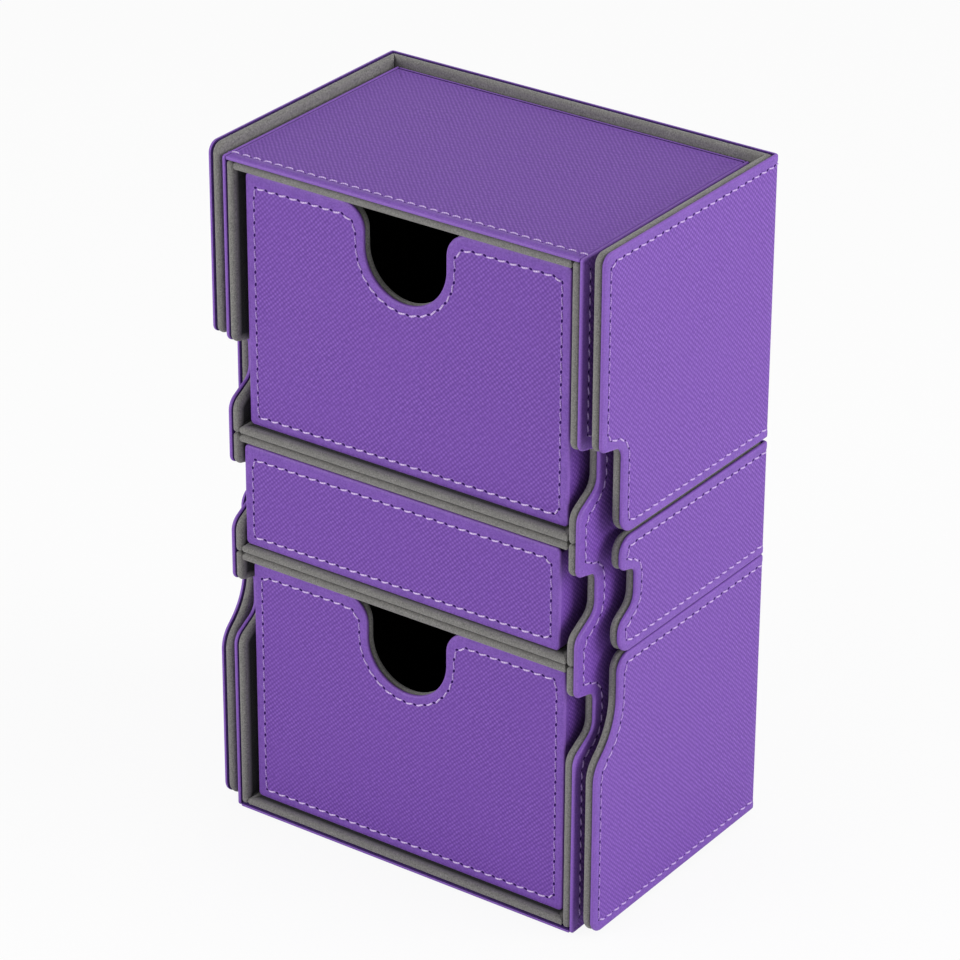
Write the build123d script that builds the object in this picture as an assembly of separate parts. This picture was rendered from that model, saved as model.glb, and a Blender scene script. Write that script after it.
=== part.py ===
from build123d import *
import os

# A trading card box: a case with three bays, a drawer in each bay, and three covers that wrap
# the case's sides and back. Every wall is a leather skin outside and a felt-covered board inside.
# Lengths are in millimetres. X runs across, Y from front to back, Z up. The origin is under the
# middle of the whole box, on the surface that it stands on. Each part is made about its own
# middle and moved to where it rests when it is written.

# ---- Sheet materials -----------------------------------------------------------------------
skin_thickness = 1.1  # leather folded over thin card
lining_thickness = 2.2  # felt folded over stiff board

# ---- Case ----------------------------------------------------------------------------------
case_width = 105.0
case_depth = 71.0
lower_bay_height = 74.0  # each bay is measured over its own floor and ceiling linings
middle_bay_height = 33.3
upper_bay_height = 73.0
bay_seam = 0.2  # between the linings of two neighbouring bays
side_skin_lift = 0.2  # the side skins stop this far above the surface below

# ---- Finger notches in the case's side walls -------------------------------------------------
notch_depth = 8.3
notch_height = 17.0
notch_sweep_rise = 4.8  # height over which the lower end runs back out to the front edge
notch_sweep_radius = 4.2
notch_step_radius = 2.2  # at the front edge, above the notch
notch_inner_radius = 3.0  # at the deep end of the step
step_slope = 1.9  # how far a step, also a cover's, comes down towards its deep end
lower_notch_drop = 8.1  # from the top of the lower bay down to its notch's step
middle_notch_rise = 7.8  # from the bottom of the middle bay up to its notch's lower end
upper_notch_rise = 8.0

# ---- Covers --------------------------------------------------------------------------------
cover_side_gap = 1.8  # between a cover's cheeks and the case
cover_back_gap = 0.4  # between a cover's back and the case
cover_lift = 1.8  # height of the lower cover's bottom edge
lower_cover_height = 74.3
lower_slit = 0.4
middle_cover_height = 31.4
upper_slit = 1.2
upper_cover_height = 75.7
cover_corner_radius = 4.5  # front corners that meet at a slit
cover_foot_radius = 4.0
cover_crown_radius = 3.0
cover_fold_radius = 1.0  # outside of the two folds at the back
cover_setback = 9.3  # how far a cover's stepped edge lies behind its foremost edge
cover_setback_extra = 6.6  # further step of the middle cover's finger notch
upper_step_height = 25.5  # from the upper cover's bottom edge
upper_step_radius = 2.2
upper_step_inner_radius = 3.5
middle_step_height = 23.2  # from the middle cover's bottom edge
middle_step_radius = 2.5
middle_sweep_height = 8.2
middle_sweep_rise = 4.1
middle_sweep_radius = 4.4
lower_sweep_height = 46.7  # from the lower cover's bottom edge
lower_sweep_rise = 8.6
lower_sweep_front_radius = 8.3
lower_sweep_back_radius = 17.0

# ---- Drawers -------------------------------------------------------------------------------
drawer_side_clearance = 1.7
drawer_lift = 0.3  # under the drawer
drawer_headroom = 0.8  # over the drawer's front
drawer_back_clearance = 0.6
tall_drawer_recess = 2.6  # front face behind the case's front edge
middle_drawer_recess = 1.3
front_corner_radius = 1.2
front_board_thickness = 1.0
front_lining_thickness = 2.1  # over the board that it holds
front_lining_lip = 1.0  # felt turned round the board's edge
board_clearance = 0.05
drawer_wall_thickness = 1.2
drawer_wall_inset = 0.5  # side walls inside the front panel's edges
drawer_wall_drop = 1.5  # side and back walls below the front panel's top edge
drawer_floor_thickness = 1.2
thumb_notch_radius = 12.0
thumb_notch_depth = 22.4
thumb_shoulder_radius = 6.5

tolerance = 0.001  # for telling corners apart

# ---- Magnets -------------------------------------------------------------------------------
magnet_radius = 3.0
magnet_thickness = 1.0
magnet_clearance = 0.05
magnet_setback = 32.0  # behind the front edge
magnet_spacing = 36.0  # between the two magnets of a tall cheek

# ---- Where the loose parts rest ----------------------------------------------------------------
covers_offset = 0.9  # the covers' middle lies this far right of the case's
middle_drawer_offset = -1.1  # from the middle of its bay

# ---- Worked out from the sizes above ---------------------------------------------------------
wall = skin_thickness + lining_thickness
case_height = 2 * skin_thickness + lower_bay_height + middle_bay_height + upper_bay_height
case_half = case_width / 2
bay_half = case_half - wall
bay_depth = case_depth - wall
cover_half = case_half + cover_side_gap + wall
cover_depth = case_depth + cover_back_gap + wall
front = -cover_depth / 2  # y of the case's and the covers' front edges

lower_bay_floor = skin_thickness
middle_bay_floor = lower_bay_floor + lower_bay_height
upper_bay_floor = middle_bay_floor + middle_bay_height
upper_bay_top = upper_bay_floor + upper_bay_height

lower_cover_foot = cover_lift
middle_cover_foot = lower_cover_foot + lower_cover_height + lower_slit
upper_cover_foot = middle_cover_foot + middle_cover_height + upper_slit

lower_notch_step = middle_bay_floor - lower_notch_drop
middle_notch_step = middle_bay_floor + middle_notch_rise + notch_height
upper_notch_step = upper_bay_floor + upper_notch_rise + notch_height

# Bay name: bottom, top and height of the notch's step.
bays = {
    "lower": (lower_bay_floor, middle_bay_floor, lower_notch_step),
    "middle": (middle_bay_floor, upper_bay_floor, middle_notch_step),
    "upper": (upper_bay_floor, upper_bay_top, upper_notch_step),
}

parts = {}


# ---- Shapes --------------------------------------------------------------------------------
def block(x_range, depth_range, z_range):
    """A box between limits; depths are measured back from the front edge."""
    sizes = [high - low for low, high in (x_range, depth_range, z_range)]
    middle = [(low + high) / 2 for low, high in (x_range, depth_range, z_range)]
    return Pos(middle[0], front + middle[1], middle[2]) * Box(*sizes)


def upright(corners, x_low, x_high):
    """A plate outlined in side view by (depth, height, radius) corners, between two x values."""
    points = [(front + depth, height) for depth, height, _ in corners]
    radii = [radius for _, _, radius in corners]
    face = make_face(FilletPolyline(*points, radius=radii, close=True))
    return Pos(x_low, 0, 0) * extrude(Plane.YZ * face, x_high - x_low)


def crosswise(face, depth_low, depth_high):
    """A front-view face made into a plate between two depths."""
    return Pos(0, front + depth_high, 0) * extrude(Plane.XZ * face, depth_high - depth_low)


def mirrored(solid):
    return mirror(solid, about=Plane.YZ)


def disc(x_low, x_high, height, radius):
    """A flat disc whose axis lies across the box."""
    thickness = x_high - x_low
    place = Pos((x_low + x_high) / 2, front + magnet_setback, height)
    return place * Rot(0, 90, 0) * Cylinder(radius, thickness)


def with_magnets(lining, x_outer, heights):
    """Sinks magnets into a right-hand lining's outer face; returns the lining and its magnets."""
    magnets = []
    for height in heights:
        x_inner = x_outer - magnet_thickness
        lining -= disc(x_inner - magnet_clearance, x_outer, height, magnet_radius + magnet_clearance)
        magnets.append(disc(x_inner, x_outer, height, magnet_radius))
    return lining, magnets


def magnet_heights(name):
    """One magnet at the middle of the low bay, two about the middle of a tall one."""
    floor, ceiling, _ = bays[name]
    middle = (floor + ceiling) / 2
    if name == "middle":
        return [middle]
    return [middle - magnet_spacing / 2, middle + magnet_spacing / 2]


# ---- Case ----------------------------------------------------------------------------------
def notch_corners(step):
    """One finger notch in a front edge, from its lower end up to its step."""
    sweep = step - notch_height
    return [
        (0, step, notch_step_radius),
        (notch_depth, step - step_slope, notch_inner_radius),
        (notch_depth, sweep + notch_sweep_rise, notch_sweep_radius),
        (0, sweep, notch_sweep_radius),
    ]


def case_skins():
    inside = case_half - skin_thickness
    back = case_depth - skin_thickness
    side = [(case_depth, side_skin_lift, 0), (case_depth, case_height, 0), (0, case_height, 0)]
    for name in ("upper", "middle", "lower"):
        side += notch_corners(bays[name][2])
    side.append((0, side_skin_lift, 0))
    right = upright(side, inside, case_half)
    parts["case_right_skin"] = right
    parts["case_left_skin"] = mirrored(right)
    across = (-inside, inside)
    parts["case_top_skin"] = block(across, (0, back), (case_height - skin_thickness, case_height))
    parts["case_bottom_skin"] = block(across, (0, back), (0, skin_thickness))
    parts["case_back_skin"] = block(across, (back, case_depth), (0, case_height))


def bay_linings(name):
    floor, ceiling, step = bays[name]
    low = floor + bay_seam / 2
    high = ceiling - bay_seam / 2
    outer = case_half - skin_thickness
    side = [(bay_depth, low, 0), (bay_depth, high, 0), (0, high, 0), *notch_corners(step), (0, low, 0)]
    right, magnets = with_magnets(upright(side, bay_half, outer), outer, magnet_heights(name))
    parts[f"{name}_bay_right_lining"] = right
    parts[f"{name}_bay_left_lining"] = mirrored(right)
    across = (-bay_half, bay_half)
    parts[f"{name}_bay_floor_lining"] = block(across, (0, bay_depth), (low, floor + lining_thickness))
    parts[f"{name}_bay_ceiling_lining"] = block(across, (0, bay_depth), (ceiling - lining_thickness, high))
    return magnets


def case():
    case_skins()
    magnets = [magnet for name in bays for magnet in bay_linings(name)]
    parts["case_magnets"] = Compound(magnets + [mirrored(one) for one in magnets])
    across = (-case_half + skin_thickness, case_half - skin_thickness)
    parts["case_back_lining"] = block(
        across, (bay_depth, case_depth - skin_thickness), (skin_thickness, upper_bay_top)
    )


# ---- Drawers -------------------------------------------------------------------------------
def front_face(half_width, bottom, top, thumb):
    """The front panel in front view, with its thumb notch in the top edge."""
    face = Pos(0, (bottom + top) / 2) * RectangleRounded(2 * half_width, top - bottom, front_corner_radius)
    if not thumb:
        return face
    centre = top - thumb_notch_depth + thumb_notch_radius
    face -= Pos(0, centre) * Circle(thumb_notch_radius)
    face -= Pos(0, (centre + top) / 2) * Rectangle(2 * thumb_notch_radius, top - centre)
    mouth = [
        corner
        for corner in face.vertices()
        if abs(abs(corner.X) - thumb_notch_radius) < tolerance and abs(corner.Y - top) < tolerance
    ]
    return fillet(mouth, thumb_shoulder_radius)


def drawer(name, recess, thumb):
    bay_floor, bay_ceiling, _ = bays[name]
    half = bay_half - drawer_side_clearance
    bottom = bay_floor + lining_thickness + drawer_lift
    top = bay_ceiling - lining_thickness - drawer_headroom
    outer = half - drawer_wall_inset
    inner = outer - drawer_wall_thickness

    skin_back = recess + skin_thickness
    board_back = skin_back + front_board_thickness
    panel_back = skin_back + front_lining_thickness
    lined = front_face(inner, bottom, top, thumb)
    pocket = offset(lined, amount=-front_lining_lip)
    board = offset(lined, amount=-front_lining_lip - board_clearance)
    parts[f"{name}_drawer_front_skin"] = crosswise(front_face(half, bottom, top, thumb), recess, skin_back)
    parts[f"{name}_drawer_front_board"] = crosswise(board, skin_back, board_back)
    parts[f"{name}_drawer_front_lining"] = crosswise(lined, skin_back, panel_back) - crosswise(
        pocket, skin_back, board_back + board_clearance
    )

    back = bay_depth - drawer_back_clearance
    wall_heights = (bottom, top - drawer_wall_drop)
    right = block((inner, outer), (skin_back, back), wall_heights)
    parts[f"{name}_drawer_right_wall"] = right
    parts[f"{name}_drawer_left_wall"] = mirrored(right)
    parts[f"{name}_drawer_back_wall"] = block(
        (-inner, inner), (back - drawer_wall_thickness, back), wall_heights
    )
    floor_top = bottom + drawer_floor_thickness
    parts[f"{name}_drawer_floor"] = block(
        (-inner, inner), (panel_back, back - drawer_wall_thickness), (bottom, floor_top)
    )


# ---- Covers --------------------------------------------------------------------------------
def upper_cover_corners():
    foot = upper_cover_foot
    crown = foot + upper_cover_height
    step = foot + upper_step_height
    return [
        (cover_depth, foot, 0),
        (cover_depth, crown, 0),
        (0, crown, cover_crown_radius),
        (0, step, upper_step_radius),
        (cover_setback, step - step_slope, upper_step_inner_radius),
        (cover_setback, foot, cover_corner_radius),
    ]


def middle_cover_corners():
    foot = middle_cover_foot
    crown = foot + middle_cover_height
    step = foot + middle_step_height
    sweep = foot + middle_sweep_height
    deep = cover_setback + cover_setback_extra
    return [
        (cover_depth, foot, 0),
        (cover_depth, crown, 0),
        (cover_setback, crown, cover_corner_radius),
        (cover_setback, step, middle_step_radius),
        (deep, step - step_slope, middle_step_radius),
        (deep, sweep + middle_sweep_rise, middle_sweep_radius),
        (cover_setback, sweep, middle_sweep_radius),
        (cover_setback, foot, cover_corner_radius),
    ]


def lower_cover_corners():
    foot = lower_cover_foot
    crown = foot + lower_cover_height
    sweep = foot + lower_sweep_height
    return [
        (cover_depth, foot, 0),
        (cover_depth, crown, 0),
        (cover_setback, crown, cover_corner_radius),
        (cover_setback, sweep + lower_sweep_rise, lower_sweep_back_radius),
        (0, sweep, lower_sweep_front_radius),
        (0, foot, cover_foot_radius),
    ]


def standing(points):
    """A column with the given plan view, high enough for every cover."""
    plan = [(x, front + depth) for x, depth in points]
    return extrude(make_face(Polyline(*plan, close=True)), upper_cover_foot + upper_cover_height)


def cover_skin():
    """The folded skin in plan view, as a column: both cheeks and the back."""
    inner = cover_half - skin_thickness
    heights = (0, upper_cover_foot + upper_cover_height)
    full = block((-cover_half, cover_half), (0, cover_depth), heights)
    folds = full.edges().filter_by(Axis.Z).group_by(Axis.Y)[-1]
    hollow = block((-inner, inner), (0, cover_depth - skin_thickness), heights)
    return fillet(folds, cover_fold_radius) - hollow


def cover(name, corners):
    outline = upright(corners, -cover_half, cover_half)
    outer = cover_half - skin_thickness
    inner = cover_half - wall
    back = cover_depth - skin_thickness
    mitre = cover_depth - wall
    cheek = standing([(inner, 0), (outer, 0), (outer, back), (inner, mitre)])
    rear = standing([(-inner, mitre), (inner, mitre), (outer, back), (-outer, back)])
    right, magnets = with_magnets(cheek & outline, outer, magnet_heights(name))
    parts[f"{name}_cover_skin"] = cover_skin() & outline
    parts[f"{name}_cover_right_lining"] = right
    parts[f"{name}_cover_left_lining"] = mirrored(right)
    parts[f"{name}_cover_back_lining"] = rear & outline
    parts[f"{name}_cover_magnets"] = Compound(magnets + [mirrored(one) for one in magnets])


def rest_x(node):
    """Where a node's middle lies, from left to right; the covers are the widest part, so theirs is 0."""
    if "_cover_" in node:
        return 0
    if node.startswith("middle_drawer_"):
        return middle_drawer_offset - covers_offset
    return -covers_offset


case()
drawer("upper", tall_drawer_recess, thumb=True)
drawer("middle", middle_drawer_recess, thumb=False)
drawer("lower", tall_drawer_recess, thumb=True)
cover("upper", upper_cover_corners())
cover("middle", middle_cover_corners())
cover("lower", lower_cover_corners())

os.makedirs("parts", exist_ok=True)
for node, solid in parts.items():
    export_step(Pos(rest_x(node), 0, 0) * solid, f"parts/{node}.step")
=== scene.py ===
import math

import bmesh
import bpy
import numpy as np
from mathutils import Matrix, Vector
from mathutils.geometry import delaunay_2d_cdt


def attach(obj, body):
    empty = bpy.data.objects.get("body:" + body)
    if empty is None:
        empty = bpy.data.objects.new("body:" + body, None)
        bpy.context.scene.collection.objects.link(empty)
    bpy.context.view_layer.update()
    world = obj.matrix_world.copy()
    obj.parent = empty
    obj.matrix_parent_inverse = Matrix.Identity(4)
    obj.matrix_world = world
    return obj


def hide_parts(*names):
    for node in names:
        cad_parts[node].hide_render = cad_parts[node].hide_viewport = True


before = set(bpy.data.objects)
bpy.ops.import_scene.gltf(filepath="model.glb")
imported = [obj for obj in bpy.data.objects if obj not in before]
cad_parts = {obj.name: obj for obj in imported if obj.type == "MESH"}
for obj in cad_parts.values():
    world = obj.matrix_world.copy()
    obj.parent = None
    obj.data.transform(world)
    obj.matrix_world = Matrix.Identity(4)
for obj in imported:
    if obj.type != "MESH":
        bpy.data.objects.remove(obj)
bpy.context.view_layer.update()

# A trading card box in purple leatherette and grey felt: a case with three bays, three drawers and
# three covers. Lengths in this script are in millimetres unless a name says otherwise; every piece
# is built as a sheet in its own plane (u, v) with height w, and then laid in its place on the box.

MM = 0.001  # metres

# ---- Sizes, as in the model's source ---------------------------------------------------------
SKIN = 1.1
LINING = 2.2
WALL = SKIN + LINING
CASE_HALF = 52.5
CASE_DEPTH = 71.0
CASE_HEIGHT = 182.5
SIDE_SKIN_LIFT = 0.2
BAY_HALF = CASE_HALF - WALL
BAY_DEPTH = CASE_DEPTH - WALL
BAY_SEAM = 0.2
COVER_SIDE_GAP = 1.8
COVER_BACK_GAP = 0.4
COVER_HALF = CASE_HALF + COVER_SIDE_GAP + WALL
COVER_DEPTH = CASE_DEPTH + COVER_BACK_GAP + WALL
FRONT = -COVER_DEPTH / 2

# Bay name: floor, ceiling, height of the finger notch's step at the front edge.
BAYS = {"lower": (1.1, 75.1, 67.0), "middle": (75.1, 108.4, 99.9), "upper": (108.4, 181.4, 133.4)}
NOTCH_HEIGHT = 17.0
NOTCH_DEPTH = 8.3
NOTCH_SWEEP_RISE = 4.8  # height over which its lower end runs back out to the front edge
NOTCH_SWEEP_RADIUS = 4.2
NOTCH_STEP_RADIUS = 2.2
NOTCH_INNER_RADIUS = 3.0
STEP_SLOPE = 1.9  # how far a step comes down towards its deep end
# Cover name: bottom, top.
COVERS = {"lower": (1.8, 76.1), "middle": (76.5, 107.9), "upper": (109.1, 184.8)}
SETBACK = 9.3  # how far a cover's stepped edge lies behind its foremost edge
SETBACK_EXTRA = 6.6  # further step of the middle cover's finger notch
COVER_CORNER_RADIUS = 4.5
COVER_CROWN_RADIUS = 3.0
COVER_FOOT_RADIUS = 4.0
UPPER_STEP_HEIGHT = 25.5  # each height is measured from its cover's bottom edge
UPPER_STEP_RADIUS = 2.2
UPPER_STEP_INNER_RADIUS = 3.5
MIDDLE_STEP_HEIGHT = 23.2
MIDDLE_STEP_RADIUS = 2.5
MIDDLE_SWEEP_HEIGHT = 8.2
MIDDLE_SWEEP_RISE = 4.1
MIDDLE_SWEEP_RADIUS = 4.4
LOWER_SWEEP_HEIGHT = 46.7
LOWER_SWEEP_RISE = 8.6
LOWER_SWEEP_FRONT_RADIUS = 8.3
LOWER_SWEEP_BACK_RADIUS = 17.0
DRAWER_SIDE_GAP = 1.7
DRAWER_LIFT = 0.3
DRAWER_HEADROOM = 0.8
DRAWER_BACK_GAP = 0.6
DRAWER_HALF = BAY_HALF - DRAWER_SIDE_GAP
DRAWER_WALL_INSET = 0.5
DRAWER_WALL_DROP = 1.5
FRONT_CORNER_RADIUS = 1.2
THUMB_RADIUS = 12.0
THUMB_DEPTH = 22.4
THUMB_SHOULDER = 6.5
RECESS = {"lower": 2.6, "middle": 1.3, "upper": 2.6}
FRONT_LINING = 2.1
DRAWER_WALL = 1.2
FOLD_RADIUS = 1.0
# Where each body's middle rests, from left to right; the covers rest at 0.
REST_X = {"case": -0.9, "upper_drawer": -0.9, "middle_drawer": -2.0, "lower_drawer": -0.9}

# ---- Making of the sheets ------------------------------------------------------------------------
ARC_LENGTH = 0.5  # longest piece of a rounded corner
ARC_ANGLE = 0.16  # and its widest angle, in radians
NEARLY = 0.985  # a point counts as clear of the outline from this share of its depth on
SLACK = 0.02
HALVINGS = 5
ALL_BORDER = 99.0  # wider than any sheet, so that all of it takes the edge's material
RIM_INSET = 0.7  # within this every sheet has its rounded edge
WELD = 0.003
SLIVER = 0.002
MITRE_LENGTH = 5.0  # over which a sheet's end slopes to its mitre

# ---- Sewing ----------------------------------------------------------------------------------
PITCH = 3.25
STITCH_LENGTH = 2.3
SHORTEST_STITCH = 1.0
STITCH_CLEARANCE = 0.7  # between a stitch's ends and its needle holes, together
THREAD_RADIUS = 0.23
SLANT = 0.16  # radians between a stitch and its row
HOLE_SLANT = -0.3
HOLE_LENGTH = 0.5
HOLE_WIDTH = 0.34
TOP_LOWER = 1.0  # the drawer fronts' upper row lies this much lower than the others
LONGEST_GAP = 9.0  # a row runs on over a gap shorter than this


# ---- Flat outlines -----------------------------------------------------------------------------
def unit(vector):
    return vector / np.linalg.norm(vector)


def stops(length, fine=0.5, near=6.5, coarse=6.0):
    """Places along a straight run: close together near its ends, far apart between them."""
    reach = min(near, length / 2)
    ends = np.arange(fine, reach, fine)
    middle = np.linspace(reach, length - reach, max(2, int(np.ceil((length - 2 * reach) / coarse)) + 1))
    return np.unique(np.round(np.concatenate([ends, middle, length - ends]), 4))


def rounded(corners, least=0.35):
    """A closed counter-clockwise outline, with each (u, v, radius) corner rounded."""
    arcs = []
    for i, (u, v, radius) in enumerate(corners):
        radius = max(radius, least)
        corner = np.array((u, v))
        back = unit(np.array(corners[i - 1][:2]) - corner)
        ahead = unit(np.array(corners[(i + 1) % len(corners)][:2]) - corner)
        half = math.acos(np.clip(back @ ahead, -1, 1)) / 2
        centre = corner + unit(back + ahead) * radius / math.sin(half)
        start = corner + back * radius / math.tan(half) - centre
        end = corner + ahead * radius / math.tan(half) - centre
        first = math.atan2(start[1], start[0])
        sweep = (math.atan2(end[1], end[0]) - first + math.pi) % (2 * math.pi) - math.pi
        steps = int(max(4, np.ceil(abs(sweep) * radius / ARC_LENGTH), np.ceil(abs(sweep) / ARC_ANGLE)))
        angles = first + sweep * np.linspace(0, 1, steps + 1)
        arcs.append(centre + radius * np.stack([np.cos(angles), np.sin(angles)], 1))
    points = []
    for i, arc in enumerate(arcs):
        run = arcs[(i + 1) % len(arcs)][0] - arc[-1]
        length = np.linalg.norm(run)
        points.extend(arc if length > 0.01 else arc[:-1])
        if length > 0.6:
            points.extend(arc[-1] + run * stop / length for stop in stops(length))
    points = np.array(points)
    ahead = np.roll(points, -1, 0)
    area = np.sum(points[:, 0] * ahead[:, 1] - ahead[:, 0] * points[:, 1])
    return points if area > 0 else points[::-1]


def inward(points):
    """The unit normal at each point of an outline, towards its inside."""
    along = np.roll(points, -1, 0) - points
    along /= np.linalg.norm(along, axis=1)[:, None]
    mean = along + np.roll(along, 1, 0)
    mean /= np.linalg.norm(mean, axis=1)[:, None]
    return np.stack([-mean[:, 1], mean[:, 0]], 1)


def nearest(places, points):
    """The distance from each place to the closed outline."""
    start, run = points, np.roll(points, -1, 0) - points
    offset = places[:, None] - start[None]
    share = np.clip(np.sum(offset * run, 2) / np.sum(run * run, 1), 0, 1)
    return np.sqrt(np.min(np.sum((offset - share[..., None] * run) ** 2, 2), 1))


def limits(points, normals, depths):
    """How far in each point may move before another side of the outline is nearer."""
    limit = np.full(len(points), max(depths))
    held = np.zeros(len(points))
    for depth in sorted(d for d in depths if d > 0.3):
        free = np.flatnonzero(limit >= depth)
        reached = nearest(points[free] + depth * normals[free], points)
        tight = free[reached < depth * NEARLY - SLACK]
        if len(tight):
            low, high = held[tight].copy(), np.full(len(tight), float(depth))
            for _ in range(HALVINGS):
                middle = (low + high) / 2
                reached = nearest(points[tight] + middle[:, None] * normals[tight], points)
                clear = reached >= middle * NEARLY - SLACK
                low, high = np.where(clear, middle, low), np.where(clear, high, middle)
            limit[tight] = low
        held[free] = depth
    return limit


# ---- Sheets --------------------------------------------------------------------------------------
def edge_profile(radius, thickness, steps=4):
    """The rounded front edge of a sheet: (inset, height) from its side to its face."""
    angles = np.linspace(0, math.pi / 2, steps + 1)
    return [(radius * (1 - math.cos(a)), thickness - radius * (1 - math.sin(a))) for a in angles]


def felt_profile(thickness, radius):
    """Felt turned round a board: both edges round, the face flat."""
    face = edge_profile(radius, thickness, 5)
    back = [(inset, thickness - height) for inset, height in face[::-1]]
    return back + face + [(radius + 0.5, thickness), (radius + 1.6, thickness)]


def skin_profile(thickness, inset, crown=0.02, radius=0.48):
    """Leather turned over card: a round edge, a plump border that stands up by crown, the dip of
    the stitching and a flat field.
    """
    back = [(0.6, 0.0), (0.2, 0.1), (0.04, 0.3), (0.0, 0.5)]
    border = [(0.9, thickness + crown), (inset - 1.0, thickness + crown), (inset - 0.5, thickness - 0.08)]
    dip = [(inset, thickness - 0.12), (inset + 0.5, thickness - 0.11)]
    field = [(inset + 0.9, thickness - 0.08), (inset + 1.6, thickness - 0.08)]
    return back + edge_profile(radius, thickness) + border + dip + field


def lowered(heights, depth, top, amount):
    """How far points at these heights, at a depth inside the outline, move down near its top."""
    full_depth, start_below, blend_height = 2.0, 9.0, 6.0
    inside = np.clip(np.asarray(depth) / full_depth, 0, 1)
    near_top = np.clip((heights - top + start_below) / blend_height, 0, 1)
    return amount * inside * near_top


def sheet(corners, profile, border, sewn=None, cuts=(), joint=0, lower=None):
    """A sheet in (u, v, w): its mesh, and the row of stitches if it has one.

    The profile gives (inset, height) rings from the back to the face. Faces nearer to the outline
    than border take the edge's material, and the first rings, as many as joint says, the back's.
    sewn is (inset, test), where test tells which points of the outline have the stitched border;
    elsewhere the face runs flat to its edge. lower is (top, amount): near an outline's top edge at
    that height, the rings and the row of stitches move down by that amount. cuts are lines of
    constant u along which the mesh is split, so that it can be folded there.
    """
    points = rounded(corners)
    normals = inward(points)
    limit = limits(points, normals, [inset for inset, _ in profile])
    stitched = np.ones(len(points), bool)
    flat = profile[-1][1]
    if sewn is not None:
        stitched = sewn[1](points[:, 0], points[:, 1])
    rim = [inset for inset, _ in profile].index(0.0) + 1
    face_insets, face_heights = zip(*profile[rim:])
    rings, depths = [], []
    for ring, (inset, height) in enumerate(profile):
        depth = np.minimum(inset, limit)
        level = np.full(len(points), float(height))
        if ring > rim and inset > RIM_INSET:
            level = np.interp(depth, face_insets, face_heights)
            level[~stitched] = flat
        ring_points = points + depth[:, None] * normals
        if lower is not None:
            ring_points[:, 1] -= lowered(ring_points[:, 1], depth, *lower)
        rings.append(np.column_stack([ring_points, level]))
        depths.append(depth)
    count = len(points)
    places = np.concatenate(rings)
    faces, kinds = [], []
    for ring, (inset, _) in enumerate(profile[:-1]):
        for i in range(count):
            j = (i + 1) % count
            here, above = ring * count, (ring + 1) * count
            faces.append((here + i, here + j, above + j, above + i))
            plain = profile[ring + 1][0] <= border and (stitched[i] or inset < RIM_INSET)
            kinds.append(2 if ring < joint else 0 if plain else 1)
    for ring, kind, way in ((rings[-1], 1, 1), (rings[0], 2, -1)):
        inner = [Vector(place[:2]) for place in ring]
        filled, _, triangles, _, _, _ = delaunay_2d_cdt(inner, [], [list(range(count))], 1, 1e-4)
        for triangle in triangles:
            faces.append([len(places) + i for i in triangle[::way]])
            kinds.append(kind)
        level = flat if kind == 1 else profile[0][1]
        places = np.concatenate([places, [(*point, level) for point in filled]])
        depths.append(np.full(len(filled), profile[-1][0] if kind == 1 else profile[0][0]))
    mesh = bpy.data.meshes.new("sheet")
    mesh.from_pydata(places.tolist(), [], faces)
    mesh.polygons.foreach_set("material_index", kinds)
    inset_values = mesh.attributes.new("inset", "FLOAT", "POINT")
    inset_values.data.foreach_set("value", np.concatenate(depths).astype(np.float32))
    built = bmesh.new()
    built.from_mesh(mesh)
    bmesh.ops.remove_doubles(built, dist=WELD, verts=built.verts)
    bmesh.ops.dissolve_degenerate(built, dist=SLIVER, edges=built.edges)
    for cut in cuts:
        whole = built.verts[:] + built.edges[:] + built.faces[:]
        bmesh.ops.bisect_plane(built, geom=whole, dist=1e-5, plane_co=(cut, 0, 0), plane_no=(1, 0, 0))
    uv = built.loops.layers.uv.new("plane")
    for face in built.faces:
        face.smooth = True
        for loop in face.loops:
            loop[uv].uv = loop.vert.co.xy
    built.to_mesh(mesh)
    built.free()
    row = None
    if sewn is not None:
        inset = sewn[0]
        height = next(h for d, h in profile if d == inset)
        row_points = points + inset * normals
        if lower is not None:
            row_points[:, 1] -= lowered(row_points[:, 1], inset, *lower)
        keep = stitched & (limit >= inset - 1e-6)
        row = (row_points, keep, height)
    return mesh, row


def runs_of(keep):
    """The stretches of consecutive kept points round a closed outline."""
    if keep.all():
        return [list(range(len(keep))) + [0]]
    start = next(i for i in range(len(keep)) if keep[i] and not keep[i - 1])
    order = [(start + k) % len(keep) for k in range(len(keep))]
    stretches, current = [], []
    for i in order:
        if keep[i]:
            current.append(i)
        elif current:
            stretches.append(current)
            current = []
    if current:
        stretches.append(current)
    return stretches


def row_path(row):
    """The sewing line as one chain of points; short gaps at sharp inner corners are bridged."""
    points, keep, _ = row
    stretches = runs_of(keep)
    chains, chain = [], list(stretches[0])
    for stretch in stretches[1:]:
        if np.linalg.norm(points[stretch[0]] - points[chain[-1]]) < LONGEST_GAP:
            chain += stretch
        else:
            chains.append(chain)
            chain = list(stretch)
    chains.append(chain)
    chain = max(chains, key=len)
    path = points[chain]
    if np.linalg.norm(path[0] - path[-1]) < LONGEST_GAP:
        path = np.vstack([path, path[:1]])
    return path


def evenly(path, pitch):
    """Needle holes at an even pitch along a chain of points."""
    steps = np.linalg.norm(np.diff(path, axis=0), axis=1)
    keep = np.concatenate([[True], steps > 1e-6])
    path = path[keep]
    steps = np.linalg.norm(np.diff(path, axis=0), axis=1)
    travelled = np.concatenate([[0], np.cumsum(steps)])
    count = max(1, round(travelled[-1] / pitch))
    marks = np.linspace(0, travelled[-1], count + 1)
    return np.stack([np.interp(marks, travelled, path[:, k]) for k in (0, 1)], 1)


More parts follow.
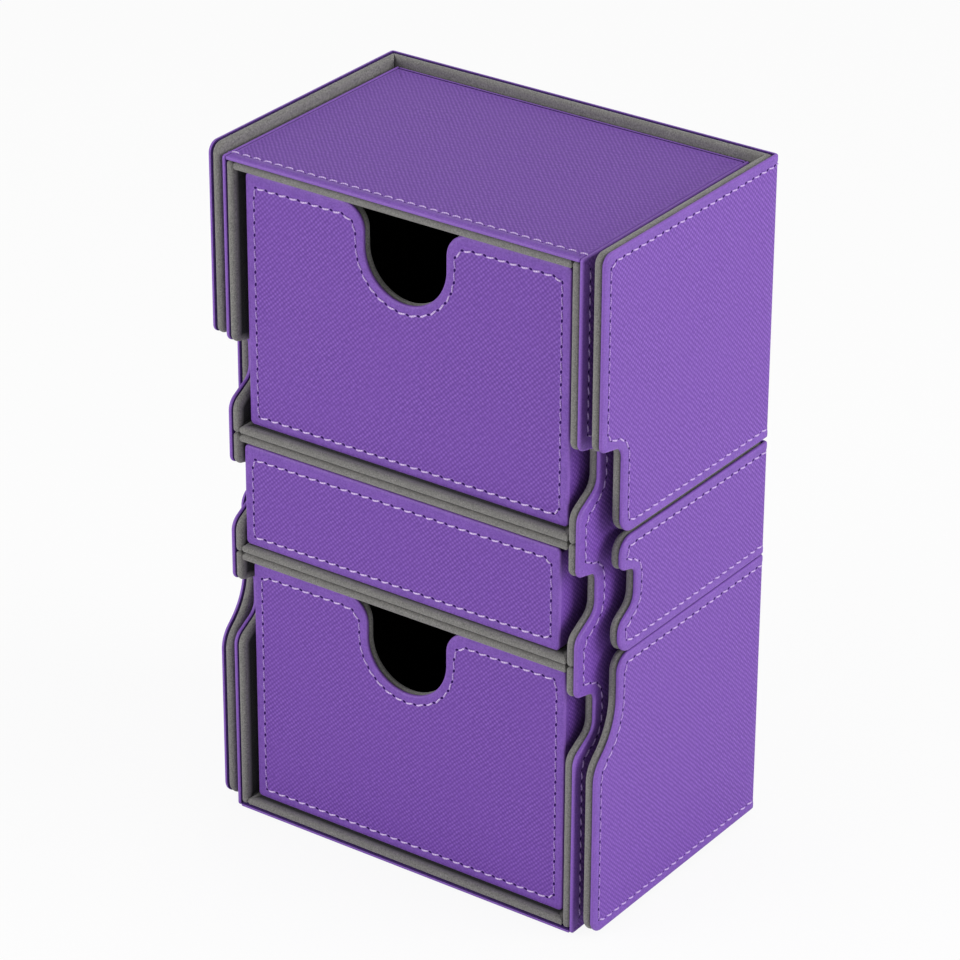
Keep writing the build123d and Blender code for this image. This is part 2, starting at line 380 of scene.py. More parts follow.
def thread_mesh(at, height, look, bow):
    """One stitch between every two needle holes: an arched, slanted, tapering tube.

    look gives a stitch's light from its direction, and bow is how far its middle bends aside.
    """
    places, faces, uvs, lights = [], [], [], []
    sides, stations = 7, 9
    for index, (start, end) in enumerate(zip(at[:-1], at[1:])):
        run = end - start
        length = np.linalg.norm(run)
        if length < SHORTEST_STITCH:
            continue
        light, _ = look(run / length)
        turned = SLANT + 0.03 * math.sin(index * 2.4)
        along = unit(run)
        along = np.array([
            along[0] * math.cos(turned) - along[1] * math.sin(turned),
            along[0] * math.sin(turned) + along[1] * math.cos(turned),
        ])
        across = np.array([-along[1], along[0]])
        centre = (start + end) / 2
        reach = min(STITCH_LENGTH, length - STITCH_CLEARANCE) / 2 * (1 + 0.04 * math.sin(index * 5.1))
        base = len(places)
        for station in range(stations):
            share = -1 + 2 * station / (stations - 1)
            middle = centre + along * reach * share + np.array(bow) * (1 - share * share)
            rise = height + 0.08 + 0.08 * light - 0.3 * abs(share) ** 4
            radius = THREAD_RADIUS * (0.8 + 0.25 * light) * (1 - 0.35 * abs(share) ** 4)
            for side in range(sides):
                angle = 2 * math.pi * side / sides
                place = middle + across * radius * math.cos(angle)
                places.append((place[0], place[1], rise + radius * 0.8 * math.sin(angle)))
                lights.append(light)
        for station in range(stations - 1):
            for side in range(sides):
                low = base + station * sides
                following = (side + 1) % sides
                faces.append((low + side, low + following, low + sides + following, low + sides + side))
                span = (station, side), (station, side + 1), (station + 1, side + 1), (station + 1, side)
                uvs.extend((s / (stations - 1) * reach * 2, k / sides) for s, k in span)
        faces.append([base + side for side in range(sides)][::-1])
        uvs.extend([(0, 0)] * sides)
        top = base + (stations - 1) * sides
        faces.append([top + side for side in range(sides)])
        uvs.extend([(0, 0)] * sides)
    mesh = bpy.data.meshes.new("thread")
    mesh.from_pydata(places, [], faces)
    layer = mesh.uv_layers.new(name="plane")
    layer.data.foreach_set("uv", np.array(uvs, np.float32).ravel())
    mesh.attributes.new("light", "FLOAT", "POINT").data.foreach_set("value", np.array(lights, np.float32))
    mesh.polygons.foreach_set("use_smooth", [True] * len(faces))
    return mesh


def hole_mesh(at, height, look, bow):
    """A needle hole at each end of a stitch: a puckered rim round a flat disc whose dark colour is painted
    shade of the hole.
    """
    places, faces, kinds = [], [], []
    sides = 10
    rings = [(1.9, -0.03), (1.35, 0.05), (1.0, 0.04), (0.55, 0.02)]  # share of its size, height
    ways = np.gradient(at, axis=0)
    for (u, v), way in zip(at, ways):
        if np.linalg.norm(way) < 1e-6:
            continue
        way = unit(way)
        size = 0.5 + 0.5 * look(way)[1]
        way = np.array([
            way[0] * math.cos(HOLE_SLANT) - way[1] * math.sin(HOLE_SLANT),
            way[0] * math.sin(HOLE_SLANT) + way[1] * math.cos(HOLE_SLANT),
        ])
        across = np.array([-way[1], way[0]])
        base = len(places)
        for scale, level in rings:
            for side in range(sides):
                angle = 2 * math.pi * side / sides
                place = (
                    np.array((u, v)) - np.array(bow) * 0.8
                    + way * size * HOLE_LENGTH * scale * math.cos(angle)
                    + across * size * HOLE_WIDTH * scale * math.sin(angle)
                )
                places.append((place[0], place[1], height + level))
        for ring in range(len(rings) - 1):
            for side in range(sides):
                low = base + ring * sides
                following = (side + 1) % sides
                faces.append((low + side, low + following, low + sides + following, low + sides + side))
                kinds.append(0 if ring < 2 else 1)
        inner = base + (len(rings) - 1) * sides
        faces.append([inner + side for side in range(sides)])
        kinds.append(1)
    mesh = bpy.data.meshes.new("holes")
    mesh.from_pydata(places, [], faces)
    mesh.polygons.foreach_set("material_index", kinds)
    mesh.polygons.foreach_set("use_smooth", [True] * len(faces))
    return mesh


# ---- Placing ---------------------------------------------------------------------------------------
def facing_front(depth_of_back):
    """A sheet that faces the viewer in front: u is x, v is z, w points forwards."""
    return lambda u, v, w: (u, FRONT + depth_of_back - w, v)


def facing_back(depth_of_back):
    return lambda u, v, w: (u, FRONT + depth_of_back + w, v)


def facing_up(base):
    return lambda u, v, w: (u, FRONT + v, base + w)


def facing_down(base):
    return lambda u, v, w: (u, FRONT + v, base - w)


def facing_side(side, x_back):
    """A sheet that faces outwards: u is the depth, v is z; side is 1 on the right, -1 on the left."""
    return lambda u, v, w: (side * (x_back + w), FRONT + u, v)


def facing_inwards(side, x_back):
    return lambda u, v, w: (side * (x_back - w), FRONT + u, v)


def mitred(place, ends):
    """Slopes a sheet's ends, given as (u, direction), so that two sheets meet in a mitre."""
    def at(u, v, w):
        for end, direction in ends:
            share = np.clip(1 - abs(end - u) / MITRE_LENGTH, 0, 1)
            u = u - direction * share * w
        return place(u, v, w)
    return at


UNROLLED = 2 * (COVER_DEPTH - FOLD_RADIUS) + 2 * (COVER_HALF - FOLD_RADIUS) + math.pi * FOLD_RADIUS


def wrapped(u, v, w):
    """A cover's skin, laid round the left cheek, the back and the right cheek."""
    side = -1
    if u > UNROLLED / 2:
        u = UNROLLED - u
        side = 1
    inside = SKIN - w
    cheek = COVER_DEPTH - FOLD_RADIUS
    arc = math.pi / 2 * FOLD_RADIUS
    if u <= cheek:
        return (side * (COVER_HALF - inside), FRONT + u, v)
    if u <= cheek + arc:
        angle = (u - cheek) / FOLD_RADIUS
        radius = max(FOLD_RADIUS - inside, 0.02)
        x = COVER_HALF - FOLD_RADIUS + radius * math.cos(angle)
        return (side * x, FRONT + cheek + radius * math.sin(angle), v)
    return (side * (COVER_HALF - FOLD_RADIUS - (u - cheek - arc)), FRONT + COVER_DEPTH - inside, v)


def lay(mesh, place, name, body, materials, replaces=(), grain=1):
    """Lays a flat mesh in its place on the box and makes it a piece that rides on a body."""
    axes = [np.array(place(*point)) for point in ((1, 1, 1), (1.1, 1, 1), (1, 1.1, 1), (1, 1, 1.1))]
    handed = np.linalg.det(np.stack([axis - axes[0] for axis in axes[1:]]))
    rest = Vector((REST_X.get(body, 0.0), 0, 0))
    for vertex in mesh.vertices:
        vertex.co = (Vector(place(*vertex.co)) + rest) * MM
    if handed < 0:
        mesh.flip_normals()
    if grain < 0 and mesh.uv_layers:
        layer = mesh.uv_layers[0].data
        values = np.zeros(len(layer) * 2, np.float32)
        layer.foreach_get("uv", values)
        values[0::2] *= -1
        layer.foreach_set("uv", values)
    mesh.name = name
    for material in materials:
        mesh.materials.append(material)
    piece = bpy.data.objects.new(name, mesh)
    bpy.context.scene.collection.objects.link(piece)
    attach(piece, body)
    if replaces:
        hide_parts(*replaces)
    return piece


# ---- Materials ---------------------------------------------------------------------------------------
def srgb(red, green, blue):
    """A colour as read from a screen, as Blender's linear values."""
    values = [c / 255 for c in (red, green, blue)]
    linear = [c / 12.92 if c <= 0.04045 else ((c + 0.055) / 1.055) ** 2.4 for c in values]
    return (*linear, 1.0)


class Nodes:
    """A small helper that adds nodes to a material and links them."""

    def __init__(self, name, roughness, specular=0.4, sheen=0.0, metallic=0.0):
        self.material = bpy.data.materials.new(name)
        self.material.use_nodes = True
        self.tree = self.material.node_tree
        self.shader = self.tree.nodes["Principled BSDF"]
        self.shader.inputs["Roughness"].default_value = roughness
        self.shader.inputs["Specular IOR Level"].default_value = specular
        self.shader.inputs["Sheen Weight"].default_value = sheen
        self.shader.inputs["Sheen Roughness"].default_value = 0.4
        self.shader.inputs["Metallic"].default_value = metallic

    def add(self, kind, inputs=None, **settings):
        node = self.tree.nodes.new(kind)
        for key, value in settings.items():
            setattr(node, key, value)
        for key, value in (inputs or {}).items():
            if isinstance(value, bpy.types.NodeSocket):
                self.tree.links.new(value, node.inputs[key])
            else:
                node.inputs[key].default_value = value
        return node

    def plane(self, rotation=0.0):
        """The sheet's own plane, in millimetres, turned by an angle."""
        uv = self.add("ShaderNodeUVMap", uv_map="plane")
        inputs = {"Vector": uv.outputs["UV"], "Rotation": (0, 0, rotation)}
        return self.add("ShaderNodeMapping", inputs).outputs[0]

    def solid(self, stretch=(1, 1, 1)):
        """The piece's own space, in millimetres."""
        place = self.add("ShaderNodeTexCoord")
        scale = [1000 * s for s in stretch]
        inputs = {"Vector": place.outputs["Object"], "Scale": scale}
        return self.add("ShaderNodeMapping", inputs).outputs[0]

    def noise(self, vector, scale, detail=2.0, roughness=0.5):
        inputs = {"Vector": vector, "Scale": scale, "Detail": detail, "Roughness": roughness}
        return self.add("ShaderNodeTexNoise", inputs).outputs["Fac"]

    def wave(self, vector, length, distortion=0.0, detail_scale=1.0, direction="X"):
        inputs = {"Vector": vector, "Scale": 2 * math.pi / 20 / length, "Distortion": distortion}
        inputs.update({"Detail": 1.0, "Detail Scale": detail_scale})
        return self.add("ShaderNodeTexWave", inputs, bands_direction=direction).outputs["Fac"]

    def maths(self, operation, first, second=0.0):
        return self.add("ShaderNodeMath", {0: first, 1: second}, operation=operation).outputs[0]

    def spread(self, value, low, high, to_low=0.0, to_high=1.0):
        inputs = {"Value": value, "From Min": low, "From Max": high, "To Min": to_low, "To Max": to_high}
        return self.add("ShaderNodeMapRange", inputs).outputs[0]

    def blend(self, share, first, second):
        node = self.add("ShaderNodeMix", data_type="RGBA")
        for index, value in ((6, first), (7, second)):
            if isinstance(value, bpy.types.NodeSocket):
                self.tree.links.new(value, node.inputs[index])
            else:
                node.inputs[index].default_value = value
        self.tree.links.new(share, node.inputs[0])
        return node.outputs[2]

    def colour(self, socket):
        self.tree.links.new(socket, self.shader.inputs["Base Color"])

    def roughness(self, socket):
        self.tree.links.new(socket, self.shader.inputs["Roughness"])

    def bump(self, height, millimetres, under=None):
        inputs = {"Height": height, "Distance": millimetres * MM, "Strength": 1.0}
        if under is not None:
            inputs["Normal"] = under
        return self.add("ShaderNodeBump", inputs).outputs["Normal"]

    def normal(self, socket):
        self.tree.links.new(socket, self.shader.inputs["Normal"])


PURPLE = srgb(118, 70, 172)
PURPLE_DEEP = srgb(84, 40, 138)
PURPLE_LIGHT = srgb(148, 98, 202)


def grained_leather():
    """Leatherette with a fine diagonal cross grain, pressed into its field; its colour is painted darker in
    the grain's valleys and lighter on its ridges, painted shade and painted highlight of the grain.
    """
    made = Nodes("leather_field", roughness=0.5, specular=0.35, sheen=0.12)
    turned = made.plane(math.radians(-45))
    ridges = made.wave(turned, 0.95, 1.9, 0.9, "Y")
    crossing = made.wave(turned, 0.95, 1.9, 0.9, "X")
    cells = made.noise(made.plane(), 1.0, 3.0, 0.6)
    bands = made.maths("ADD", made.maths("MULTIPLY", ridges, 0.42), made.maths("MULTIPLY", crossing, 0.28))
    knots = made.maths("MULTIPLY", made.maths("MULTIPLY", ridges, crossing), 0.35)
    woven = made.maths("ADD", bands, knots)
    height = made.maths("MULTIPLY", woven, made.spread(cells, 0.3, 0.7, 0.45, 1.35))
    patches = made.noise(made.plane(), 0.06, 2.0)
    # Painted shade in the grain's valleys and painted highlight on its ridges, by the grain's height.
    shade = made.blend(made.spread(height, 0.0, 0.9), PURPLE_DEEP, PURPLE_LIGHT)
    middle = made.blend(made.spread(patches, 0.35, 0.65, 0.5, 0.68), PURPLE, shade)
    made.colour(middle)
    made.roughness(made.spread(height, 0, 1, 0.58, 0.44))
    waves = made.bump(patches, 0.25)
    made.normal(made.bump(height, 0.07, waves))
    return made.material


def smooth_leather():
    """The turned edge and the border outside the stitching: smoother, lighter, and paler still right at the
    edge, part wear and part painted highlight where the rounded edge catches the light.
    """
    made = Nodes("leather_border", roughness=0.46, specular=0.4, sheen=0.12)
    place = made.solid()
    grain = made.noise(place, 2.2, 3.0, 0.6)
    patches = made.noise(place, 0.12, 2.0)
    inset = made.add("ShaderNodeAttribute", attribute_name="inset").outputs["Fac"]
    ragged = made.maths("ADD", inset, made.spread(grain, 0.3, 0.7, -0.12, 0.12))
    # Painted highlight with wear: the colour turns paler within about 0.6 mm of the outline; meshes without
    # the inset attribute, such as the needle holes' rims, get up to half of it.
    worn_and_lit_edge = made.spread(ragged, 0.0, 0.6, 0.5, 0.0)
    base = made.blend(made.spread(patches, 0.3, 0.7), srgb(124, 79, 178), srgb(135, 88, 189))
    fine = made.blend(made.spread(grain, 0.35, 0.65, 0.0, 0.5), base, PURPLE_DEEP)
    made.colour(made.blend(worn_and_lit_edge, fine, srgb(148, 103, 198)))
    made.roughness(made.spread(grain, 0.3, 0.7, 0.42, 0.56))
    made.normal(made.bump(grain, 0.035))
    return made.material


def felt(name, shade_from=0.0):
    """Grey microfibre with a short, slightly matted nap; given a depth in mm, the felt beyond it from the
    rim is painted near-black, painted shade deep in a narrow gap.
    """
    made = Nodes(name, roughness=0.95, specular=0.12, sheen=0.35)
    place = made.solid()
    nap = made.noise(place, 2.6, 4.0, 0.7)
    strands = made.noise(made.solid((1.0, 0.3, 0.45)), 4.5, 2.0, 0.6)
    patches = made.noise(place, 0.25, 3.0)
    fibres = made.maths("ADD", made.maths("MULTIPLY", nap, 0.6), made.maths("MULTIPLY", strands, 0.4))
    speckled = made.blend(made.spread(fibres, 0.36, 0.64), srgb(96, 95, 94), srgb(156, 154, 150))
    colour = made.blend(made.spread(patches, 0.3, 0.7, 0.0, 0.35), speckled, srgb(120, 118, 116))
    # Painted shade: past the given depth behind the rim, with a ragged fringe, the felt's colour blends to
    # near-black.
    if shade_from:
        inset = made.add("ShaderNodeAttribute", attribute_name="inset").outputs["Fac"]
        ragged = made.maths("ADD", inset, made.spread(fibres, 0.3, 0.7, -0.25, 0.25))
        dark = made.blend(made.spread(nap, 0.3, 0.7), srgb(16, 15, 18), srgb(36, 34, 38))
        colour = made.blend(made.spread(ragged, shade_from, shade_from + 1.2), colour, dark)
    made.colour(colour)
    made.normal(made.bump(fibres, 0.16))
    return made.material


def shade_black_lining():
    """Black flocked paper inside the drawers, near-black as painted shade for their dark inside."""
    made = Nodes("flocked_lining_painted_shade", roughness=0.92, specular=0.15, sheen=0.1)
    nap = made.noise(made.solid(), 3.0, 3.0, 0.6)
    made.colour(made.blend(made.spread(nap, 0.3, 0.7), srgb(14, 13, 17), srgb(34, 32, 38)))
    made.normal(made.bump(nap, 0.08))
    return made.material


def glue_and_shade_joint():
    """The leather's turned-in edge beside the board, dark with glue and with painted shade of the seam."""
    made = Nodes("glue_and_shade_joint", roughness=0.8, specular=0.2)
    grain = made.noise(made.solid(), 2.5)
    # Painted shade of the seam between leather and lining, together with the glue's own dark.
    made.colour(made.blend(made.spread(grain, 0.3, 0.7), srgb(50, 28, 84), srgb(76, 46, 118)))
    made.normal(made.bump(grain, 0.04))
    return made.material


def thread():
    """Two-ply lilac thread, its colour mixed by the attribute light between a painted shaded copy and a
    painted lit copy: painted shade on the rows that miss the top light, painted highlight on those that
    catch it.
    """
    made = Nodes("thread", roughness=0.42, specular=0.5, sheen=0.2)
    plies = made.wave(made.plane(math.radians(35)), 0.42, 0.2, 1.0, "X")
    light = made.add("ShaderNodeAttribute", attribute_name="light").outputs["Fac"]
    # Painted shade and painted highlight: a darker and a lighter copy of the thread's colour, picked by each
    # row's direction.
    shaded_thread = made.blend(plies, srgb(126, 82, 178), srgb(168, 126, 214))
    lit_thread = made.blend(plies, srgb(196, 160, 238), srgb(246, 226, 255))
    made.colour(made.blend(light, shaded_thread, lit_thread))
    made.normal(made.bump(plies, 0.05))
    return made.material


def needle_hole_shade():
    """The dark pit of a needle hole, a flat disc painted dark as the shade inside the hole."""
    made = Nodes("needle_hole_shade", roughness=0.9, specular=0.1)
    grain = made.noise(made.solid(), 3.0)
    # Painted shade: the hole's dark colour stands in for the shade inside it.
    made.colour(made.blend(grain, srgb(34, 10, 70), srgb(58, 26, 104)))
    made.normal(made.bump(grain, 0.03))
    return made.material


def grey_board():
    """Bare grey card, inside the drawers' fronts."""
    made = Nodes("grey_board", roughness=0.85, specular=0.2)
    fibres = made.noise(made.solid((0.4, 1, 1)), 1.8, 5.0, 0.65)
    made.colour(made.blend(made.spread(fibres, 0.3, 0.7), srgb(138, 128, 112), srgb(176, 166, 150)))
    made.normal(made.bump(fibres, 0.05))
    return made.material


def nickel():
    """The magnets' plating, with fine scratches."""
    made = Nodes("nickel_plate", roughness=0.28, metallic=1.0)
    scratches = made.noise(made.solid((1, 8, 0.6)), 2.0, 3.0)
    made.colour(made.blend(scratches, srgb(176, 174, 170), srgb(206, 204, 200)))
    made.roughness(made.spread(scratches, 0.3, 0.7, 0.22, 0.38))
    made.normal(made.bump(scratches, 0.01))
    return made.material


FIELD = grained_leather()
BORDER = smooth_leather()
FELT = felt("felt")
# The bays' felt carries painted shade from 1.15 mm behind its rim.
SHADED_BAY_FELT = felt("bay_felt_painted_shade", 1.15)
SHADE_FLOCK = shade_black_lining()
JOINT_GLUE_AND_SHADE = glue_and_shade_joint()
THREAD = thread()
HOLE = needle_hole_shade()
BOARD = grey_board()
NICKEL = nickel()
LEATHER = (BORDER, FIELD, JOINT_GLUE_AND_SHADE)


# ---- Pieces ------------------------------------------------------------------------------------------
# Each kind of row: a function from its direction to the light on its thread and how large its
# needle holes, with their painted shade, are, and the way its thread bows. The holes open on the other side.
SEWING = {
    "front": (lambda way: (0.3 + 0.7 * abs(way[0]), 1.0), (0, -0.08)),
    "cover": (lambda way: (0.25 + 0.45 * abs(way[0]), 1.0 - 0.85 * max(0, way[0])), (0, -0.06)),
    "side": (lambda way: (0.45, 0.8), (0, 0)),
    "top": (lambda way: (0.85, 0.1), (0, 0.16)),
}


def skin(
    node, body, corners, place, inset=2.6, sewn=None, grain=1, cuts=(),
    sewing="front", longer=0.0, crown=0.02, joint=2, lower=None,
):
    """A leather skin in place of a CAD node, with its thread and needle holes.

    sewn tests which points of the outline have stitches, grain is -1 where the grain is mirrored,
    and longer is how far a row runs on past its ends.
    """
    test = sewn or (lambda u, v: np.zeros(len(u), bool))
    profile = skin_profile(SKIN, inset, crown)
    mesh, row = sheet(corners, profile, inset + 0.1, (inset, test), cuts, joint, lower)
    lay(mesh, place, node + ".leather", body, LEATHER, (node,), grain=grain)
    if sewn is None:
        return
    path = row_path(row)
    if longer:
        before = path[0] + unit(path[0] - path[1]) * longer
        after = path[-1] + unit(path[-1] - path[-2]) * longer
        path = np.vstack([before, path, after])
    at = evenly(path, PITCH)
    look, bow = SEWING[sewing]
    lay(thread_mesh(at, row[2], look, bow), place, node + ".thread", body, (THREAD,))
    lay(hole_mesh(at, row[2], look, bow), place, node + ".holes", body, (BORDER, HOLE))


def lining(node, body, corners, place, thickness=LINING, material=FELT):
    mesh, _ = sheet(corners, felt_profile(thickness, thickness / 2 - 0.02), ALL_BORDER)
    lay(mesh, place, node + ".felt", body, (material, material, material), (node,))


def everywhere(u, v):
    """Stitches all the way round."""
    return np.ones(len(u), bool)


def along_case_front(u, v):
    """Which outline points of a case side lie on its front edge and in its finger notches."""
    return (u < NOTCH_DEPTH + 0.6) & (v > SIDE_SKIN_LIFT + 1.5) & (v < CASE_HEIGHT - 1.5)


def along_top_front(u, v):
    """Which outline points of the case's top lie on its front edge."""
    return v < 0.6


def notch_corners(step):
    """One finger notch in a front edge, from its step down to its lower end."""
    sweep = step - NOTCH_HEIGHT
    return [
        (0, step, NOTCH_STEP_RADIUS),
        (NOTCH_DEPTH, step - STEP_SLOPE, NOTCH_INNER_RADIUS),
        (NOTCH_DEPTH, sweep + NOTCH_SWEEP_RISE, NOTCH_SWEEP_RADIUS),
        (0, sweep, NOTCH_SWEEP_RADIUS),
    ]


def panel(u_low, u_high, v_low, v_high, radius=0.0):
    corners = (u_low, v_low), (u_high, v_low), (u_high, v_high), (u_low, v_high)
    return [(u, v, radius) for u, v in corners]


def make_case():
    inside = CASE_HALF - SKIN
    back = CASE_DEPTH - SKIN
    edge_radius = 0.8
    side = [(CASE_DEPTH, SIDE_SKIN_LIFT, 0), (CASE_DEPTH, CASE_HEIGHT, 0), (0, CASE_HEIGHT, edge_radius)]
    for name in ("upper", "middle", "lower"):
        side += notch_corners(BAYS[name][2])
    side.append((0, SIDE_SKIN_LIFT, edge_radius))
    for label, sign in (("right", 1), ("left", -1)):
        place = facing_side(sign, inside)
        skin(f"case_{label}_skin", "case", side, place, 3.1, along_case_front, -sign, sewing="side", joint=1)
    top = panel(-inside, inside, 0, back)
    skin(
        "case_top_skin", "case", top, facing_up(CASE_HEIGHT - SKIN), 3.0, along_top_front, -1,
        sewing="top", longer=4.2, crown=0.14, joint=1,
    )
    skin("case_bottom_skin", "case", top, facing_down(SKIN))
    skin("case_back_skin", "case", panel(-inside, inside, 0, CASE_HEIGHT), facing_back(back))
    for name, (floor, ceiling, step) in BAYS.items():
        low = floor + BAY_SEAM / 2
        high = ceiling - BAY_SEAM / 2
        wall_radius = 0.9
        wall = [(BAY_DEPTH, low, 0), (BAY_DEPTH, high, 0), (0, high, wall_radius)]
        wall += [*notch_corners(step), (0, low, wall_radius)]
        for label, sign in (("right", 1), ("left", -1)):
            place = facing_inwards(sign, CASE_HALF - SKIN)
            lining(f"{name}_bay_{label}_lining", "case", wall, place, material=SHADED_BAY_FELT)
        flat = panel(-BAY_HALF, BAY_HALF, 0, BAY_DEPTH)
        lining(f"{name}_bay_floor_lining", "case", flat, facing_up(low), floor + LINING - low, SHADED_BAY_FELT)
        depth = high - ceiling + LINING
        lining(f"{name}_bay_ceiling_lining", "case", flat, facing_down(high), depth, SHADED_BAY_FELT)
    rear = panel(-inside, inside, SKIN, CASE_HEIGHT - SKIN)
    lining("case_back_lining", "case", rear, facing_front(back))


def drawer_front(half, bottom, top, thumb):
    """A front panel's outline, with a thumb notch in its top edge if thumb is true."""
    if not thumb:
        return panel(-half, half, bottom, top, FRONT_CORNER_RADIUS)
    deep = top - THUMB_DEPTH
    return [
        (-half, bottom, FRONT_CORNER_RADIUS),
        (half, bottom, FRONT_CORNER_RADIUS),
        (half, top, FRONT_CORNER_RADIUS),
        (THUMB_RADIUS, top, THUMB_SHOULDER),
        (THUMB_RADIUS, deep, THUMB_RADIUS),
        (-THUMB_RADIUS, deep, THUMB_RADIUS),
        (-THUMB_RADIUS, top, THUMB_SHOULDER),
        (-half, top, FRONT_CORNER_RADIUS),
    ]


def make_drawer(name):
    floor, ceiling, _ = BAYS[name]
    body = f"{name}_drawer"
    bottom = floor + LINING + DRAWER_LIFT
    top = ceiling - LINING - DRAWER_HEADROOM
    outer = DRAWER_HALF - DRAWER_WALL_INSET
    inner = outer - DRAWER_WALL
    thumb = name != "middle"
    skin_back = RECESS[name] + SKIN
    panel_back = skin_back + FRONT_LINING
    face = drawer_front(DRAWER_HALF, bottom, top, thumb)
    skin(f"{body}_front_skin", body, face, facing_front(skin_back), 2.5, everywhere, lower=(top, TOP_LOWER))
    face = drawer_front(inner, bottom, top, thumb)
    lining(f"{body}_front_lining", body, face, facing_front(panel_back), FRONT_LINING)

    back = BAY_DEPTH - DRAWER_BACK_GAP
    crest = top - DRAWER_WALL_DROP
    wall = panel(skin_back, back, bottom, crest)
    for label, sign in (("right", 1), ("left", -1)):
        board(f"{body}_{label}_wall", body, wall, facing_side(sign, inner), -sign)
    board(f"{body}_back_wall", body, panel(-inner, inner, bottom, crest), facing_back(back - DRAWER_WALL), 1)
    floor_panel = panel(-inner, inner, panel_back, back - DRAWER_WALL)
    board(f"{body}_floor", body, floor_panel, facing_down(bottom + DRAWER_WALL), 1)


def board(node, body, corners, place, grain):
    """A thin board with leather outside, turned over its edges, and black flock inside, painted shade for
    the drawer's dark inside.
    """
    profile = [(0.35, 0.0), (0.1, 0.1), (0.0, 0.4)] + edge_profile(0.4, DRAWER_WALL)
    profile += [(1.2, DRAWER_WALL), (2.0, DRAWER_WALL)]
    mesh, _ = sheet(corners, profile, 1.3, joint=1)
    lay(mesh, place, node + ".leather", body, (BORDER, FIELD, SHADE_FLOCK), (node,), grain=grain)


def cover_contour(name):
    """A cheek's front edge as (depth, height, radius), from the top down."""
    foot, crown = COVERS[name]
    if name == "upper":
        step = foot + UPPER_STEP_HEIGHT
        return [
            (0, crown, COVER_CROWN_RADIUS),
            (0, step, UPPER_STEP_RADIUS),
            (SETBACK, step - STEP_SLOPE, UPPER_STEP_INNER_RADIUS),
            (SETBACK, foot, COVER_CORNER_RADIUS),
        ]
    if name == "middle":
        deep = SETBACK + SETBACK_EXTRA
        step = foot + MIDDLE_STEP_HEIGHT
        sweep = foot + MIDDLE_SWEEP_HEIGHT
        return [
            (SETBACK, crown, COVER_CORNER_RADIUS),
            (SETBACK, step, MIDDLE_STEP_RADIUS),
            (deep, step - STEP_SLOPE, MIDDLE_STEP_RADIUS),
            (deep, sweep + MIDDLE_SWEEP_RISE, MIDDLE_SWEEP_RADIUS),
            (SETBACK, sweep, MIDDLE_SWEEP_RADIUS),
            (SETBACK, foot, COVER_CORNER_RADIUS),
        ]
    sweep = foot + LOWER_SWEEP_HEIGHT
    return [
        (SETBACK, crown, COVER_CORNER_RADIUS),
        (SETBACK, sweep + LOWER_SWEEP_RISE, LOWER_SWEEP_BACK_RADIUS),
        (0, sweep, LOWER_SWEEP_FRONT_RADIUS),
        (0, foot, COVER_FOOT_RADIUS),
    ]


def make_cover(name):
    body = f"{name}_cover"
    foot, crown = COVERS[name]
    contour = cover_contour(name)
    unrolled = contour + [(UNROLLED - depth, height, radius) for depth, height, radius in contour[::-1]]
    fold = COVER_DEPTH - FOLD_RADIUS + np.linspace(0, math.pi / 2 * FOLD_RADIUS, 6)
    cuts = [*fold, *(UNROLLED - fold)]
    skin(f"{body}_skin", body, unrolled, wrapped, 2.6, everywhere, 1, cuts, "cover")

    outer = COVER_HALF - SKIN
    cheek = [(COVER_DEPTH - SKIN, foot, 0), (COVER_DEPTH - SKIN, crown, 0), *contour]
    for label, sign in (("right", 1), ("left", -1)):
        place = mitred(facing_inwards(sign, outer), [(COVER_DEPTH - SKIN, 1)])
        lining(f"{body}_{label}_lining", body, cheek, place)
    rear = panel(-outer, outer, foot, crown)
    place = mitred(facing_front(COVER_DEPTH - SKIN), [(outer, 1), (-outer, -1)])
    lining(f"{body}_back_lining", body, rear, place)


make_case()
for drawer_name in ("upper", "middle", "lower"):
    make_drawer(drawer_name)
for cover_name in ("upper", "middle", "lower"):
    make_cover(cover_name)

for node_name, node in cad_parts.items():
    if node_name.endswith("front_board"):
        node.data.materials.clear()
        node.data.materials.append(BOARD)
    if node_name.endswith("magnets"):
        node.data.materials.clear()
        node.data.materials.append(NICKEL)


# ---- Floor, light and camera ---------------------------------------------------------------------------
FLOOR_GLOW = 0.91  # share of plain white in what the camera sees of the floor; the rest has the shadow
WORLD_STRENGTH = 0.4


def make_floor():
    """A wide white floor under the box."""
    mesh = bpy.data.meshes.new("floor")
    built = bmesh.new()
    bmesh.ops.create_grid(built, x_segments=8, y_segments=8, size=3.0)
    built.to_mesh(mesh)
    built.free()
    floor = bpy.data.objects.new("floor", mesh)
    floor.location = (0, 0, -0.0002)
    bpy.context.scene.collection.objects.link(floor)
    material = bpy.data.materials.new("floor")
    material.use_nodes = True
    tree = material.node_tree
    shader = tree.nodes["Principled BSDF"]
    shader.inputs["Base Color"].default_value = (0.9, 0.9, 0.9, 1)
    shader.inputs["Roughness"].default_value = 0.9
    shader.inputs["Specular IOR Level"].default_value = 0.1
    glow = tree.nodes.new("ShaderNodeEmission")
    glow.inputs["Color"].default_value = (1, 1, 1, 1)
    glow.inputs["Strength"].default_value = 1.0
    path = tree.nodes.new("ShaderNodeLightPath")
    share = tree.nodes.new("ShaderNodeMath")
    share.operation = "MULTIPLY"
    share.inputs[1].default_value = FLOOR_GLOW
    mix = tree.nodes.new("ShaderNodeMixShader")
    tree.links.new(path.outputs["Is Camera Ray"], share.inputs[0])
    tree.links.new(share.outputs[0], mix.inputs["Fac"])
    tree.links.new(shader.outputs[0], mix.inputs[1])
    tree.links.new(glow.outputs[0], mix.inputs[2])
    tree.links.new(mix.outputs[0], tree.nodes["Material Output"].inputs["Surface"])
    mesh.materials.append(material)


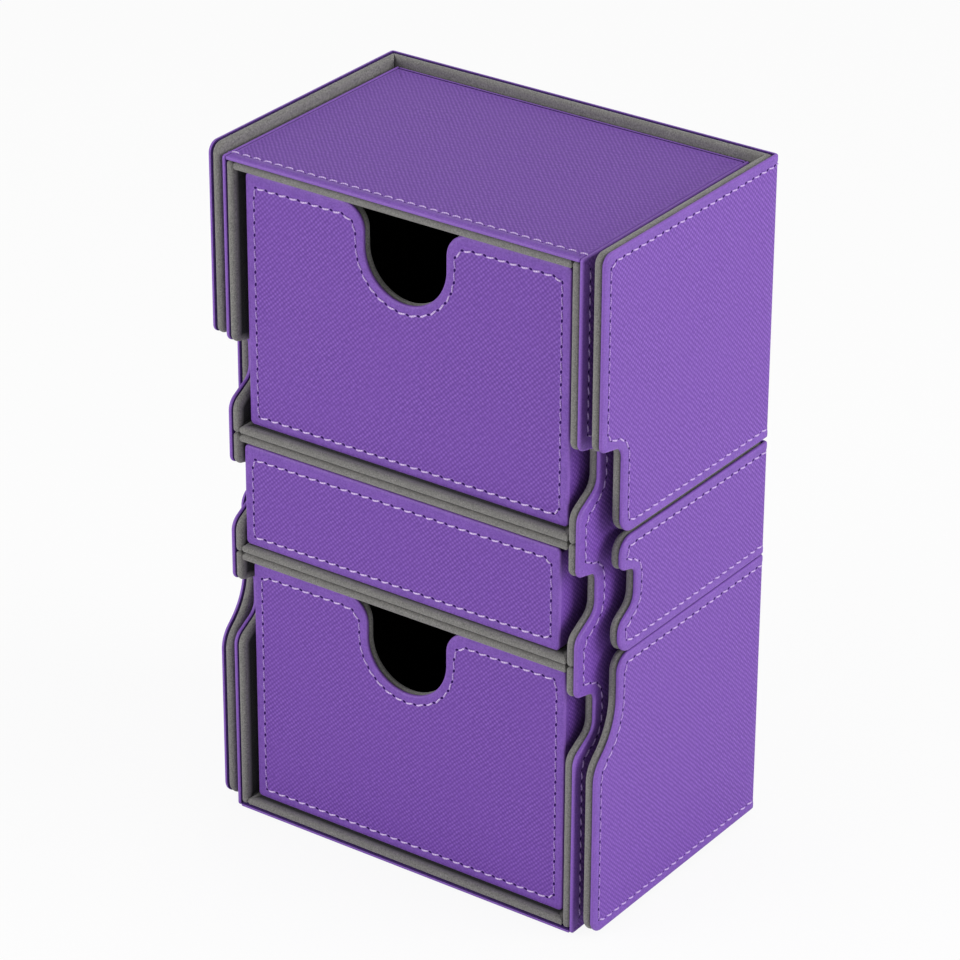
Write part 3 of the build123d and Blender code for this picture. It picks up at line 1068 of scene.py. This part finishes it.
def make_world():
    world = bpy.data.worlds.new("studio")
    bpy.context.scene.world = world
    world.use_nodes = True
    tree = world.node_tree
    background = tree.nodes["Background"]
    background.inputs["Color"].default_value = (1, 1, 1, 1)
    path = tree.nodes.new("ShaderNodeLightPath")
    strength = tree.nodes.new("ShaderNodeMapRange")
    strength.inputs["To Min"].default_value = WORLD_STRENGTH
    strength.inputs["To Max"].default_value = 1.0
    tree.links.new(path.outputs["Is Camera Ray"], strength.inputs["Value"])
    tree.links.new(strength.outputs[0], background.inputs["Strength"])


def area_light(name, place, aim, size, watts):
    lamp = bpy.data.lights.new(name, "AREA")
    lamp.shape = "RECTANGLE"
    lamp.size, lamp.size_y = size
    lamp.energy = watts
    holder = bpy.data.objects.new(name, lamp)
    holder.location = place
    holder.rotation_euler = (Vector(aim) - Vector(place)).to_track_quat("-Z", "Y").to_euler()
    bpy.context.scene.collection.objects.link(holder)


def make_camera():
    """Stands where the photograph's perspective puts it: f = 4314 px for a frame 960 px wide."""
    place = (0.54992, -0.78228, 0.58622)  # metres
    azimuth, elevation, roll = 0.61558, 0.47438, 0.00466
    level = math.cos(elevation)
    back = Vector((math.sin(azimuth) * level, -math.cos(azimuth) * level, math.sin(elevation)))
    right = (-back).cross(Vector((0, 0, 1))).normalized()
    up = right.cross(-back)
    turned_right = math.cos(roll) * right + math.sin(roll) * up
    turned_up = -math.sin(roll) * right + math.cos(roll) * up
    turn = Matrix((turned_right, turned_up, back)).transposed()
    lens = bpy.data.cameras.new("camera")
    lens.sensor_width = 36.0
    lens.lens = 161.76
    lens.clip_start, lens.clip_end = 0.05, 20.0
    camera = bpy.data.objects.new("camera", lens)
    camera.matrix_world = Matrix.Translation(place) @ turn.to_4x4()
    bpy.context.scene.collection.objects.link(camera)
    bpy.context.scene.camera = camera


make_floor()
make_world()
area_light("key", (1.06, 0.3, 0.52), (0, 0, 0.09), (0.7, 0.8), 9.0)
area_light("fill", (-0.62, -1.0, 0.42), (0, 0, 0.09), (0.8, 0.7), 7.0)
area_light("top", (-0.1, 0.1, 1.1), (0, 0, 0.18), (0.8, 0.8), 1.8)
make_camera()
bpy.context.scene.view_settings.view_transform = "Standard"
